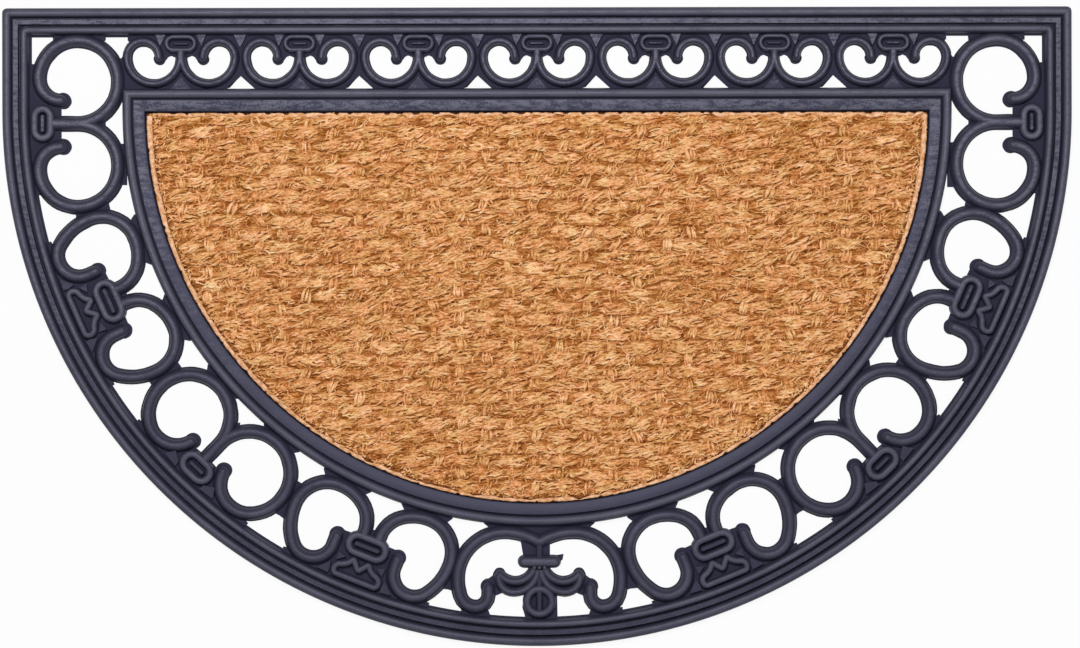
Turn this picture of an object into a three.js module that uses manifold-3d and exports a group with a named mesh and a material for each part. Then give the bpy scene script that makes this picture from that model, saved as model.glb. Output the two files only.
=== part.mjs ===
// Half round doormat: a one-piece moulded rubber frame of rims and C-scrolls
// with a woven coir panel laid in its half-disc recess.
// Millimetres, +X along the straight edge, +Y towards the straight edge, +Z up.
// Origin: middle of the bounding box, on the underside.

import * as THREE from 'three';
import { mergeVertices } from 'three/addons/utils/BufferGeometryUtils.js';
import Module from 'manifold-3d';

const wasm = await Module();
wasm.setup();

// ---- driving dimensions ----------------------------------------------------

const matWidth = 750;
const matDepth = 448;
const rimRadius = matWidth / 2;
const rimRise = matDepth - rimRadius;
const centreY = matDepth / 2 - rimRise;

// Rim profile, measured inwards from the mat's outer edge: an outer and an inner
// bead on a flat band as wide as the rim. A corner is the cut at the bead's two
// upper corners.
const rimWidth = 19;
const rimBand = { top: 7.5, corner: 2 };
const rimBeads = [
  { from: 0, to: 7.4, top: 10, bevel: 2.2, corner: 3 },
  { from: 12.6, to: rimWidth, top: 10, bevel: 2, corner: 6 },
];

// Inner frame profile, measured outwards from the edge of the recess: one bead
// on the outer part of a flat band.
const recessRadius = 274.5;
const frameWidth = 16.3;
const frameBandTop = 8;
const frameBead = { from: 9.2, to: frameWidth, top: 10.5, bevel: 2.2 };

// A band's edges lie this far inside the beads that stand on them.
const bandInset = 1;

const trayFloor = 2.5;
const webHeight = 3;
const coirGap = 0.3;
const coirTop = 9.6;

// How far the rubber's forms are sunk below z = 0 before they are trimmed, and
// how far a web or floor runs into what it joins.
const footDepth = 5;
const overlap = 2;

// Steps of round outlines: a half circle has twice as many.
const segments = { curve: 18, ring: 8, end: 4, collar: 2, island: 1 };

// Bars of the scrollwork: half width at the foot, and how the top is rounded.
const largeBar = { half: 5, top: 8.8, bevelIn: 2.6, bevelDown: 3.8, stepAngle: 30 };
const smallBar = { half: 2.8, top: 8, bevelIn: 0, bevelDown: 0, stepAngle: 36 };
const leafBar = { half: 2, top: 8.6, bevelIn: 1, bevelDown: 1.8, stepAngle: 36 };
const longestStep = 15;

// The pairs on the curve, by their angle from the middle of the curve. One more
// stands at the middle, and one in each corner.
const curvePairs = [
  { kind: 'leaf', angle: 21.8 },
  { kind: 'plain', angle: 44.1 },
  { kind: 'leaf', angle: 66.4 },
];
const cornerAngle = 88.8;
const cornerY = 143;

// The seven pairs along the straight edge.
const topPairs = 7;
const topPitch = 83.2;

// Collars: a stadium ring with a raised bar, the island, in its sunk middle.
// Each has its middle at x, y in its pair's frame.
const collars = {
  leaf: { x: 0, y: -328.8, long: 30.5, short: 17.5, wall: 4.3, island: { long: 18, short: 3.4 } },
  plain: { x: 0, y: -346.4, long: 25, short: 17.5, wall: 4.3, island: { long: 13, short: 3.4 } },
  corner: { x: -346.4, y: 0, long: 24.5, short: 15, wall: 3.8, island: { long: 13, short: 3.2 } },
  top: { x: 0, y: 198.9, long: 22.5, short: 12, wall: 3, island: { long: 12, short: 1.4 } },
};
const crownTop = 8.5;
const collarTop = 9.5;
const collarFloor = 5;
const islandTop = 8;

// Scroll centrelines. Each starts at x, y with a heading in degrees and follows
// its steps: a straight of a length, or an arc of a radius and a turn (left is
// positive). It stops at the centre of its round end. On the curve, y is up
// towards the coir, measured from the centre of the mat's curve.
const scrolls = {
  leaf: {
    x: -6.3, y: -322.5, heading: 90,
    steps: [
      { straight: 6.5 }, { radius: 22, turn: 90 }, { straight: 5 }, { radius: 25, turn: 90 },
      { radius: 40, turn: 37 }, { radius: 15.4, turn: 143 }, { straight: 7 },
    ],
  },
  plain: {
    x: -0.5, y: -339.5, heading: 90,
    steps: [
      { straight: 16.8 }, { radius: 29, turn: 225 }, { radius: 21.5, turn: 45 },
      { radius: 19.5, turn: 68 }, { straight: 4.5 },
    ],
  },
  centre: {
    x: 0, y: -302, heading: 148,
    steps: [
      { radius: 46, turn: 32 }, { radius: 33, turn: 90 }, { radius: 40, turn: 17 },
      { radius: 11.5, turn: 73 }, { radius: 9, turn: 90 }, { straight: 6.8 },
    ],
  },
  upperLeaf: {
    x: -2.3, y: -318, heading: 250,
    steps: [{ radius: 14, turn: -120 }],
  },
  lowerLeaf: {
    x: -1.1, y: -321.5, heading: 265,
    steps: [{ radius: 17, turn: -85 }, { radius: 10.5, turn: -90 }, { straight: 3 }],
  },
  // y is measured from the collar's middle.
  corner: {
    x: -342, y: 0, heading: 0,
    steps: [
      { straight: 19.2 }, { radius: 28.7, turn: 270 }, { radius: 13.3, turn: 90 },
      { straight: 6 },
    ],
  },
  // x is measured from the middle of the pair, y from the mat's origin.
  top: {
    x: -0.5, y: 194, heading: -90,
    steps: [
      { straight: 4.5 }, { radius: 18.7, turn: -180 }, { radius: 11.3, turn: -180 },
      { straight: 2.5 },
    ],
  },
};

// Middle of the curve, in the same frame: what its stem carries.
const stem = { half: 2.2, low: -352, high: -299, top: 8, bevelIn: 1, bevelDown: 1.6 };
const crossBar = { y: -315.5, long: 28, short: 8.4, top: 9.5, bevelIn: 2.2, bevelDown: 3.2 };
const stemRing = { y: -343.6, outer: 11.2, inner: 6.8, top: 9, bevelIn: 1.2, bevelDown: 2 };

// ---- shape helpers -----------------------------------------------------------

const degrees = Math.PI / 180;

// Half disc of a radius, with straight sides of a rise above its diameter. Its
// upper corners are cut back to three points of a round of the corner's radius.
function halfRound({ radius, rise, corner = 0 }) {
  const top = centreY + rise;
  const cut = corner * (1 - Math.SQRT1_2);
  const shape = new THREE.Shape();
  shape.moveTo(radius, centreY);
  if (corner > 0) {
    shape.lineTo(radius, top - corner);
    shape.lineTo(radius - cut, top - cut);
    shape.lineTo(radius - corner, top);
    shape.lineTo(corner - radius, top);
    shape.lineTo(cut - radius, top - cut);
    shape.lineTo(-radius, top - corner);
  } else if (rise > 0) {
    shape.lineTo(radius, top);
    shape.lineTo(-radius, top);
  }
  shape.lineTo(-radius, centreY);
  shape.absarc(0, centreY, radius, Math.PI, 2 * Math.PI, false);
  return shape;
}

// A ring between two half-round outlines.
function halfRoundRing(outer, inner) {
  const shape = halfRound(outer);
  shape.holes.push(halfRound(inner));
  return shape;
}

// Capsule outline along X, or along Y when upright.
function stadium(long, short, upright = false) {
  const end = short / 2;
  const run = long / 2 - end;
  const shape = new THREE.Shape();
  if (upright) {
    shape.absarc(0, run, end, 0, Math.PI, false);
    shape.absarc(0, -run, end, Math.PI, 2 * Math.PI, false);
  } else {
    shape.absarc(run, 0, end, -Math.PI / 2, Math.PI / 2, false);
    shape.absarc(-run, 0, end, Math.PI / 2, 1.5 * Math.PI, false);
  }
  return shape;
}

function box(x0, x1, y0, y1) {
  return polygon([[x0, y0], [x1, y0], [x1, y1], [x0, y1]]);
}

function polygon(points) {
  return new THREE.Shape(points.map(([x, y]) => new THREE.Vector2(x, y)));
}

// Whole outline from its right half, listed from the top of the middle line to
// its bottom. It runs down the left side and up the right.
function mirroredPolygon(half) {
  const left = half.filter(([x]) => x !== 0).map(([x, y]) => [-x, y]);
  return polygon([...left, ...half.toReversed()]);
}

// Points along a scroll's centreline, each with its heading in radians.
function walk(scroll, stepAngle) {
  let { x, y } = scroll;
  let heading = scroll.heading * degrees;
  const line = [{ x, y, heading }];
  const advance = (length, turn) => {
    x += length * Math.cos(heading + turn / 2);
    y += length * Math.sin(heading + turn / 2);
    heading += turn;
    line.push({ x, y, heading });
  };
  for (const { straight, radius, turn } of scroll.steps) {
    if (straight) {
      advance(straight, 0);
    } else {
      const byAngle = Math.round(Math.abs(turn) / stepAngle);
      const byLength = Math.round(radius * Math.abs(turn) * degrees / longestStep);
      const count = Math.max(1, byAngle, byLength);
      const part = turn * degrees / count;
      const chord = 2 * radius * Math.sin(Math.abs(part) / 2);
      for (let i = 0; i < count; i += 1) advance(chord, part);
    }
  }
  return line;
}

// Outline of a bar of even width along a line, with a round far end.
function barShape(line, half) {
  const side = (sign) => line.map(({ x, y, heading }) => new THREE.Vector2(
    x - sign * half * Math.sin(heading),
    y + sign * half * Math.cos(heading),
  ));
  const end = line[line.length - 1];
  const cap = [];
  for (let angle = -45; angle <= 45; angle += 45) {
    cap.push(new THREE.Vector2(
      end.x + half * Math.cos(end.heading + angle * degrees),
      end.y + half * Math.sin(end.heading + angle * degrees),
    ));
  }
  return new THREE.Shape([...side(-1), ...cap, ...side(1).reverse()]);
}

// ---- solids --------------------------------------------------------------------

function toSolid(geometry) {
  const bare = geometry.clone();
  bare.deleteAttribute('normal');
  bare.deleteAttribute('uv');
  const merged = mergeVertices(bare);
  return new wasm.Manifold(new wasm.Mesh({
    numProp: 3,
    vertProperties: new Float32Array(merged.attributes.position.array),
    triVerts: new Uint32Array(merged.index.array),
  }));
}

function toGeometry(solid) {
  const mesh = solid.getMesh();
  const geometry = new THREE.BufferGeometry();
  geometry.setAttribute('position', new THREE.BufferAttribute(mesh.vertProperties, 3));
  geometry.setIndex(new THREE.BufferAttribute(mesh.triVerts, 1));
  geometry.computeVertexNormals();
  return geometry;
}

// Straight-sided prism between two heights.
function prism(shape, from, to, curveSegments) {
  const geometry = new THREE.ExtrudeGeometry(shape, {
    depth: to - from, bevelEnabled: false, curveSegments,
  });
  return geometry.translate(0, 0, from);
}

// The rubber's forms all start at one level below z = 0, where the underside is
// trimmed flat once everything is joined.
function sunk(shape, top, curveSegments = segments.end) {
  return prism(shape, -footDepth, top, curveSegments);
}

// The same with its top edges taken off.
function raised(shape, { top, bevelIn, bevelDown }, curveSegments = segments.end) {
  if (bevelIn === 0) return sunk(shape, top, curveSegments);
  const geometry = new THREE.ExtrudeGeometry(shape, {
    depth: top + footDepth - bevelDown, bevelEnabled: true, bevelSegments: 1, curveSegments,
    bevelSize: bevelIn, bevelOffset: -bevelIn, bevelThickness: bevelDown,
  });
  return geometry.translate(0, 0, -footDepth);
}

function bar(line, size) {
  return raised(barShape(line, size.half), size);
}

// Thin low sheet that closes a narrow gap where forms meet.
function web(shape) {
  return sunk(shape, webHeight);
}

// ---- what stands round one pair --------------------------------------------------

const mirrorLine = (line) => line.map(({ x, y, heading }) => (
  { x: -x, y, heading: Math.PI - heading }
));

function scrollPair(scroll, size) {
  const line = walk(scroll, size.stepAngle);
  return [bar(line, size), bar(mirrorLine(line), size)];
}

// Stadium ring, the sunk floor inside it and the island raised on the floor.
function collar({ x, y, long, short, wall, island }, upright = false) {
  const ring = stadium(long, short, upright);
  ring.holes.push(stadium(long - 2 * wall, short - 2 * wall, upright));
  const pieces = [
    sunk(ring, collarTop, segments.collar),
    sunk(stadium(long - wall, short - wall, upright), collarFloor, segments.collar),
    sunk(stadium(island.long, island.short, upright), islandTop, segments.island),
  ];
  return pieces.map((piece) => piece.translate(x, y, 0));
}

// ---- stretches of the frame --------------------------------------------------------

// Edges of the inner frame and of the rim round the curve, in a pair's frame, and
// the levels that webs there reach: just past each edge, and below the frame's by
// the gap beside a loop that touches it.
const frameEdge = -(recessRadius + frameWidth);
const frameReach = frameEdge + overlap;
const besideLoop = frameEdge - 5;
const rimEdge = -(rimRadius - rimWidth);
const rimReach = rimEdge - overlap;

// The same beside the straight edge.
const topRimReach = matDepth / 2 - rimWidth + overlap;
const topFrameReach = centreY + frameWidth - overlap;

// Either side of where the two loops of a pair touch the inner frame.
function loopWebs() {
  const right = box(17, 40, besideLoop, frameReach);
  const left = box(-40, -17, besideLoop, frameReach);
  return [web(left), web(right)];
}

// Closed bead with two peaks that stands between a leaf collar and the rim.
function crown() {
  const outer = mirroredPolygon([
    [0, -343.6], [4.6, -339.6], [7.8, -339.6], [13, -343.8],
    [18, -345.8], [20, -349.5], [19, -356.5], [0, -357],
  ]);
  const inner = mirroredPolygon([
    [0, -348], [6.2, -343.4], [11.5, -347], [15.5, -348.6], [15.5, -351.2], [0, -351.6],
  ]);
  outer.holes.push(inner);
  return [sunk(outer, crownTop), sunk(inner, collarFloor)];
}

function leafPair() {
  return [
    ...scrollPair(scrolls.leaf, largeBar),
    ...collar(collars.leaf),
    ...crown(),
    ...loopWebs(),
    web(mirroredPolygon([
      [0, -322], [22, -323], [22, -335], [34, -348], [48, -352], [48, rimReach], [0, rimReach],
    ])),
  ];
}

function plainPair() {
  return [
    ...scrollPair(scrolls.plain, largeBar),
    ...collar(collars.plain),
    ...loopWebs(),
    web(mirroredPolygon([
      [0, -332], [15, -333.5], [20, -341], [34, -348.5], [47, -352], [47, rimReach], [0, rimReach],
    ])),
    web(mirroredPolygon([[0, -302.5], [7, -312], [0, -324]])),
  ];
}

function annulus(outer, inner) {
  const ring = new THREE.Shape();
  ring.absarc(0, 0, outer, 0, 2 * Math.PI, false);
  const hole = new THREE.Path();
  hole.absarc(0, 0, inner, 0, 2 * Math.PI, true);
  ring.holes.push(hole);
  return ring;
}

// Middle of the curve: two loops on one stem, a cross bar, two curled leaves
// and a ring on a small pad.
function centrePair() {
  const cross = stadium(crossBar.long, crossBar.short);
  const ring = annulus(stemRing.outer, stemRing.inner);
  const foot = rimEdge + 8;
  return [
    ...scrollPair(scrolls.centre, largeBar),
    raised(cross, crossBar).translate(0, crossBar.y, 0),
    ...scrollPair(scrolls.upperLeaf, leafBar),
    ...scrollPair(scrolls.lowerLeaf, leafBar),
    raised(ring, stemRing, segments.ring).translate(0, stemRing.y, 0),
    raised(box(-stem.half, stem.half, stem.low, stem.high), stem),
    web(box(-37, 37, besideLoop, frameReach)),
    web(mirroredPolygon([[0, -292], [16, -293], [7.5, -302], [7.5, -316], [0, -318]])),
    web(mirroredPolygon([
      [0, -317], [4, -320], [14, -327.3], [24, -325], [28, -322], [36, -328], [35, -339],
      [30, -339.5], [24, -337], [16, -338], [11, -339], [12, -348], [9, rimReach], [0, rimReach],
    ])),
    web(box(-55, -35, rimReach, foot)),
    web(box(35, 55, rimReach, foot)),
  ];
}

// Left corner: the two loops lie above and below a collar set upright in the rim.
function cornerPair() {
  const above = walk(scrolls.corner, largeBar.stepAngle);
  const below = above.map(({ x, y, heading }) => ({ x, y: -y, heading: -heading }));
  const webs = {
    behindCollar: box(rimReach, -332, -15, 15),
    alongRim: box(rimReach, -349, -50, 42),
    aboveLoop: box(-337, -306, 56, 63),
    besideUpperLoop: box(-297, -289, 15, 46),
    besideLowerLoop: box(-297, -288, -40, -16),
    betweenLoops: polygon([[-303, -4], [-303, 4], [-312, 0]]),
    underHook: polygon([[-297, 21], [-297, 46], [-289, 46], [-286, 33], [-276, 26], [-276, 21]]),
  };
  return [
    bar(above, largeBar),
    bar(below, largeBar),
    ...collar(collars.corner, true),
    ...Object.values(webs).map(web),
  ];
}

function topPair() {
  return [
    ...scrollPair(scrolls.top, smallBar),
    ...collar(collars.top),
    web(box(-13, 13, 190.5, topRimReach)),
    web(mirroredPolygon([[0, 184], [16, 169.5], [16, topFrameReach], [0, topFrameReach]])),
  ];
}

// ---- the rubber frame -----------------------------------------------------------------

function bead(shape, { top, bevel }) {
  return raised(shape, { top, bevelIn: bevel, bevelDown: bevel }, segments.curve);
}

function rimGeometries() {
  const at = (inset, corner) => ({ radius: rimRadius - inset, rise: rimRise - inset, corner });
  const band = halfRoundRing(at(bandInset, rimBand.corner), at(rimWidth - bandInset));
  return [
    sunk(band, rimBand.top, segments.curve),
    ...rimBeads.map((size) => bead(halfRoundRing(at(size.from, size.corner), at(size.to)), size)),
  ];
}

function innerFrameGeometries() {
  const at = (offset) => ({ radius: recessRadius + offset, rise: offset });
  const { from, to } = frameBead;
  return [
    sunk(halfRound(at(overlap)), trayFloor, segments.curve),
    sunk(halfRoundRing(at(to - bandInset), at(0)), frameBandTop, segments.curve),
    bead(halfRoundRing(at(to), at(from)), frameBead),
  ];
}

// Turned round the centre of the mat's curve.
function turned(geometries, angle) {
  const matrix = new THREE.Matrix4().makeRotationZ(angle * degrees).setPosition(0, centreY, 0);
  return geometries.map((geometry) => geometry.applyMatrix4(matrix));
}

function curveSolids() {
  const makers = { leaf: leafPair, plain: plainPair };
  const angles = [0, ...curvePairs.map((pair) => pair.angle), cornerAngle];
  const geometries = turned(centrePair(), 0);
  for (const side of [-1, 1]) {
    for (const { kind, angle } of curvePairs) {
      geometries.push(...turned(makers[kind](), side * angle));
    }
    for (let i = 1; i < angles.length; i += 1) {
      const between = (angles[i - 1] + angles[i]) / 2;
      geometries.push(...turned([web(box(-4.5, 4.5, -328, -303.5))], side * between));
    }
  }
  return geometries.map(toSolid);
}

function cornerSolids() {
  const left = cornerPair().map((geometry) => toSolid(geometry.translate(0, cornerY, 0)));
  return [...left, ...left.map((solid) => solid.mirror([1, 0, 0]))];
}

function topSolids() {
  const alongRim = web(box(-283, 283, 199, topRimReach));
  const geometries = [alongRim];
  const last = (topPairs - 1) / 2;
  for (let i = -last; i <= last; i += 1) {
    geometries.push(...topPair().map((geometry) => geometry.translate(i * topPitch, 0, 0)));
  }
  for (let i = 0.5 - last; i < last; i += 1) {
    geometries.push(web(box(-4, 4, 178, topRimReach)).translate(i * topPitch, 0, 0));
  }
  return geometries.map(toSolid);
}

function rubberFrame() {
  const solids = [
    ...rimGeometries().map(toSolid),
    ...innerFrameGeometries().map(toSolid),
    ...curveSolids(),
    ...cornerSolids(),
    ...topSolids(),
  ];
  const joined = solids.reduce((whole, solid) => whole.add(solid));
  const spaceAbove = new THREE.BoxGeometry(2 * matWidth, 2 * matWidth, matWidth);
  spaceAbove.translate(0, 0, matWidth / 2);
  return toGeometry(joined.intersect(toSolid(spaceAbove)));
}

// ---- the coir panel ---------------------------------------------------------------------

// Half disc that lies in the recess, clear of its floor and its edge.
function coirPanel() {
  const shape = halfRound({ radius: recessRadius - 2 * coirGap, rise: 0 });
  const panel = prism(shape, trayFloor + coirGap, coirTop, segments.curve);
  return panel.translate(0, -coirGap, 0);
}

// ---- the finished part --------------------------------------------------------------------

const rubber = new THREE.MeshStandardMaterial({ color: 0x45454f, roughness: 0.55, metalness: 0 });
const coir = new THREE.MeshStandardMaterial({ color: 0xc68957, roughness: 0.95, metalness: 0 });

const frame = new THREE.Mesh(rubberFrame(), rubber);
frame.name = 'rubber_frame';

const panel = new THREE.Mesh(coirPanel(), coir);
panel.name = 'coir_panel';

const group = new THREE.Group();
group.add(frame, panel);

export default group;
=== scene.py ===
import math
import bmesh
import bpy
import numpy as np
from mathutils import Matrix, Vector


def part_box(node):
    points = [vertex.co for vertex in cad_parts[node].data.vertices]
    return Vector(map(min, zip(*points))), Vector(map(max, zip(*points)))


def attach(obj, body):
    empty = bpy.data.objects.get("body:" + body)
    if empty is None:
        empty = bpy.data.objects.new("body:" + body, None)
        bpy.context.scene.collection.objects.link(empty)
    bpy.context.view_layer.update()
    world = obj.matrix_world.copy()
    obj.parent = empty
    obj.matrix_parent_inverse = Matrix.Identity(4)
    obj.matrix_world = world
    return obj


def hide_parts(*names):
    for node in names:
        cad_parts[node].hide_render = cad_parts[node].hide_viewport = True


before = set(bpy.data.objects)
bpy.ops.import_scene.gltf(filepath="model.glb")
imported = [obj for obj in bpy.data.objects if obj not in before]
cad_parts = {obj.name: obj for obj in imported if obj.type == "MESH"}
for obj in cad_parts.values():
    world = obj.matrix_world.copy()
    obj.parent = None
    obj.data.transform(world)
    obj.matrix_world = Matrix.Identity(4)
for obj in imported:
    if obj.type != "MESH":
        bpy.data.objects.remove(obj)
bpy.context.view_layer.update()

# Half round doormat: a moulded rubber frame of rims and C-scrolls round a panel of woven coir.
# The frame's axes hold throughout: straight edge towards +Y, the walked-on face up.
# Sizes in the dictionaries are millimetres, and every mesh is made in metres.
mm = 0.001
matLow, matHigh = (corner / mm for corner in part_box("rubber_frame"))
coirLow, coirHigh = (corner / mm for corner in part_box("coir_panel"))
curveY = matLow.y + matHigh.x  # centre of the mat's curve, on the Y axis
scene = bpy.context.scene
print("frame loaded")


# Camera, lamps, floor and world

view = {"above": 2200, "aimX": 1.8, "aimY": 1.9, "across": 755.3, "sensor": 36, "turn": -0.11}


def addObject(name, data):
    made = bpy.data.objects.new(name, data)
    scene.collection.objects.link(made)
    return made


camera = addObject("camera", bpy.data.cameras.new("camera"))
camera.location = (view["aimX"] * mm, view["aimY"] * mm, (matHigh.z + view["above"]) * mm)
camera.rotation_euler.z = math.radians(view["turn"])
camera.data.sensor_width = view["sensor"]
camera.data.lens = view["sensor"] * view["above"] / view["across"]
scene.camera = camera
scene.view_settings.view_transform = "Standard"

lamps = {
    "overhead": {"at": (-0.15, 0.5, 1.65), "size": 0.55, "watts": 26},
    "fill": {"at": (1.1, -1.0, 1.3), "size": 0.8, "watts": 7},
}


def makeLamps():
    for name, lamp in lamps.items():
        data = bpy.data.lights.new(name, "AREA")
        data.size = lamp["size"]
        data.energy = lamp["watts"]
        light = addObject(name, data)
        light.location = lamp["at"]
        light.rotation_euler = (-Vector(lamp["at"])).to_track_quat("-Z", "Y").to_euler()


class Link:
    # a value's socket, which adds Math nodes as it is used in an expression
    def __init__(self, shader, socket):
        self.shader, self.socket = shader, socket

    def math(self, operation, *values):
        return self.shader.node("ShaderNodeMath", {"operation": operation}, dict(enumerate(values)))

    def __add__(self, other):
        return self.math("ADD", self, other)

    def __radd__(self, other):
        return self.math("ADD", other, self)

    def __sub__(self, other):
        return self.math("SUBTRACT", self, other)

    def __rsub__(self, other):
        return self.math("SUBTRACT", other, self)

    def __mul__(self, other):
        return self.math("MULTIPLY", self, other)

    def __rmul__(self, other):
        return self.math("MULTIPLY", other, self)


class Shader:
    # one material, or world, and its nodes
    def __init__(self, name, among=bpy.data.materials):
        self.material = among.new(name)
        self.material.use_nodes = True
        self.tree = self.material.node_tree
        self.tree.nodes.clear()

    def node(self, kind, settings=None, sockets=None, output=0):
        made = self.tree.nodes.new(kind)
        for key, value in (settings or {}).items():
            if key == "stops":
                for place, colour in value[2:]:
                    made.color_ramp.elements.new(place)
                for element, (place, colour) in zip(made.color_ramp.elements, value):
                    element.position = place
                    element.color = colour
            else:
                setattr(made, key, value)
        for key, value in (sockets or {}).items():
            if isinstance(value, Link):
                self.tree.links.new(value.socket, made.inputs[key])
            else:
                made.inputs[key].default_value = value
        return Link(self, made.outputs[output]) if made.outputs else None

    def place(self, scale=(1, 1, 1), turn=0.0, bend=None):
        # the object's own coordinates, pushed about by a noise of the given scale and reach
        where = self.node("ShaderNodeTexCoord", output="Object")
        if bend:
            push = {"Scale": bend[0], "Detail": 2, "Vector": where}
            push = self.node("ShaderNodeTexNoise", {}, push, output="Color")
            push = self.vector("SUBTRACT", push, (0.5, 0.5, 0.5))
            push = self.vector("MULTIPLY", push, (bend[1], bend[1], bend[1]))
            where = self.vector("ADD", where, push)
        sockets = {"Vector": where, "Scale": scale, "Rotation": (0, 0, math.radians(turn))}
        return self.node("ShaderNodeMapping", {}, sockets)

    def vector(self, operation, first, second):
        return self.node("ShaderNodeVectorMath", {"operation": operation}, {0: first, 1: second})

    def noise(self, scale, detail, rough, where=None):
        sockets = {"Scale": scale, "Detail": detail, "Roughness": rough}
        sockets["Vector"] = where or self.place()
        return self.node("ShaderNodeTexNoise", {}, sockets)

    def ramp(self, value, look, places):
        stops = [(place, look[name]) for name, place in places.items()]
        return self.node("ShaderNodeValToRGB", {"stops": stops}, {"Fac": value})

    def mix(self, share, first, second, blend="MIX"):
        settings = {"data_type": "RGBA", "blend_type": blend}
        return self.node("ShaderNodeMix", settings, {0: share, 6: first, 7: second}, output=2)

    def within(self, value, low, high, atLow=0.0, atHigh=1.0):
        sockets = {"Value": value, "From Min": low, "From Max": high, "To Min": atLow, "To Max": atHigh}
        return self.node("ShaderNodeMapRange", {"clamp": True}, sockets)

    def value(self, name):
        return self.node("ShaderNodeAttribute", {"attribute_name": name}, output="Fac")

    def along(self, axis):
        where = self.node("ShaderNodeTexCoord", output="Object")
        return self.node("ShaderNodeSeparateXYZ", {}, {"Vector": where}, output=axis)

    def facingUp(self):
        normal = self.node("ShaderNodeNewGeometry", output="Normal")
        return self.node("ShaderNodeSeparateXYZ", {}, {"Vector": normal}, output="Z")

    def looking(self):
        # 1 for the rays that show the background, 0 for those that only light the object
        rays = [self.node("ShaderNodeLightPath", output=f"Is {ray} Ray")
                for ray in ("Camera", "Glossy", "Transmission")]
        return rays[0] + rays[1] + rays[2]

    def bump(self, height, strength, reach):
        sockets = {"Height": height, "Strength": strength, "Distance": reach}
        return self.node("ShaderNodeBump", {}, sockets)

    def finish(self, colour, rough, specular, normal, tint=(1, 1, 1, 1)):
        surface = self.node("ShaderNodeBsdfPrincipled", {}, {
            "Base Color": colour, "Roughness": rough, "Specular IOR Level": specular,
            "Specular Tint": tint, "Normal": normal})
        self.node("ShaderNodeOutputMaterial", {}, {"Surface": surface})
        return self.material


def rgb(red, green, blue):
    # a screen colour, 0 to 255, as the linear one that shaders take
    parts = [part / 255 for part in (red, green, blue)]
    return tuple(p / 12.92 if p < 0.04045 else ((p + 0.055) / 1.055) ** 2.4 for p in parts) + (1,)


def addMesh(name, points, faces, material):
    # points in millimetres
    mesh = bpy.data.meshes.new(name)
    mesh.from_pydata((np.asarray(points, float) * mm).tolist(), [], faces)
    mesh.materials.append(material)
    return addObject(name, mesh)


# the white shows only to the camera and in mirrors, and the tone and the dim light fall on the mat
floorLook = {"half": 3000, "drop": 0.4, "tone": rgb(228, 228, 231), "white": 0.92, "worldDim": 0.18}


def makeFloor():
    shader = Shader("paper white")
    plain = shader.node("ShaderNodeBsdfDiffuse", {}, {"Color": floorLook["tone"]})
    white = shader.node("ShaderNodeEmission", {}, {"Color": (1, 1, 1, 1), "Strength": 1.0})
    share = shader.looking() * floorLook["white"]
    both = shader.node("ShaderNodeMixShader", {}, {0: share, 1: plain, 2: white})
    shader.node("ShaderNodeOutputMaterial", {}, {"Surface": both})
    half, z = floorLook["half"], -floorLook["drop"]
    corners = [(-half, -half, z), (half, -half, z), (half, half, z), (-half, half, z)]
    addMesh("floor", corners, [(0, 1, 2, 3)], shader.material)


def makeWorld():
    shader = Shader("studio", bpy.data.worlds)
    dim = shader.node("ShaderNodeBackground", {}, {"Color": (1, 1, 1, 1), "Strength": floorLook["worldDim"]})
    white = shader.node("ShaderNodeBackground", {}, {"Color": (1, 1, 1, 1), "Strength": 1.0})
    both = shader.node("ShaderNodeMixShader", {}, {0: shader.looking(), 1: dim, 2: white})
    shader.node("ShaderNodeOutputWorld", {}, {"Surface": both})
    scene.world = shader.material


makeLamps()
makeFloor()
makeWorld()
print("studio ready")


# Solids: a skin joins a row of equal rings and is capped, or meets its own start.


def skin(rings, closed=False):
    rings = np.asarray(rings, float)
    count, size = rings.shape[:2]
    index = np.arange(count * size).reshape(count, size)
    after = np.roll(index, -1, axis=1)
    faces = []
    for i in range(count if closed else count - 1):
        j = (i + 1) % count
        faces += np.stack([index[i], after[i], after[j], index[j]], axis=1).tolist()
    if not closed:
        faces += [index[0][::-1].tolist(), index[-1].tolist()]
    return rings.reshape(-1, 3), faces


def raisedTo(outline, z):
    return np.column_stack([outline, np.full(len(outline), z)])


def turned(solid, angle):
    # round the centre of the mat's curve
    points, faces = solid
    c, s = math.cos(math.radians(angle)), math.sin(math.radians(angle))
    x, y, z = points.T
    return np.column_stack([c * x - s * y, s * x + c * y + curveY, z]), faces


def moved(solid, x, y):
    points, faces = solid
    return points + np.array([x, y, 0]), faces


def mirrored(solid):
    points, faces = solid
    return points * np.array([-1, 1, 1]), [face[::-1] for face in faces]


def walk(scroll, step):
    # centreline points with their headings, along straights and arcs
    x, y, heading = scroll["start"]
    heading = math.radians(heading)
    line = [(x, y, heading)]
    for part in scroll["steps"]:
        isArc = isinstance(part, tuple)
        turn = math.radians(part[1]) if isArc else 0
        length = part[0] * abs(turn) if isArc else part
        count = max(1, round(length / step))
        bend = turn / count
        chord = 2 * part[0] * math.sin(abs(bend) / 2) if isArc else length / count
        for _ in range(count):
            x += chord * math.cos(heading + bend / 2)
            y += chord * math.sin(heading + bend / 2)
            heading += bend
            line.append((x, y, heading))
    return np.array(line)


trimming = np.random.default_rng(11)  # the uneven trim of the moulding's foot


def wander(count, reach, width=3):
    values = np.convolve(trimming.normal(0, 1, count + 2 * width), np.ones(width) / width, "same")
    return values[width:width + count] * reach


def bothSides(profile):
    # whole section from its half, which runs from the foot up to the crest
    half = np.array(profile, float)
    return np.concatenate([half * (-1, 1), half[-2::-1]])


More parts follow.
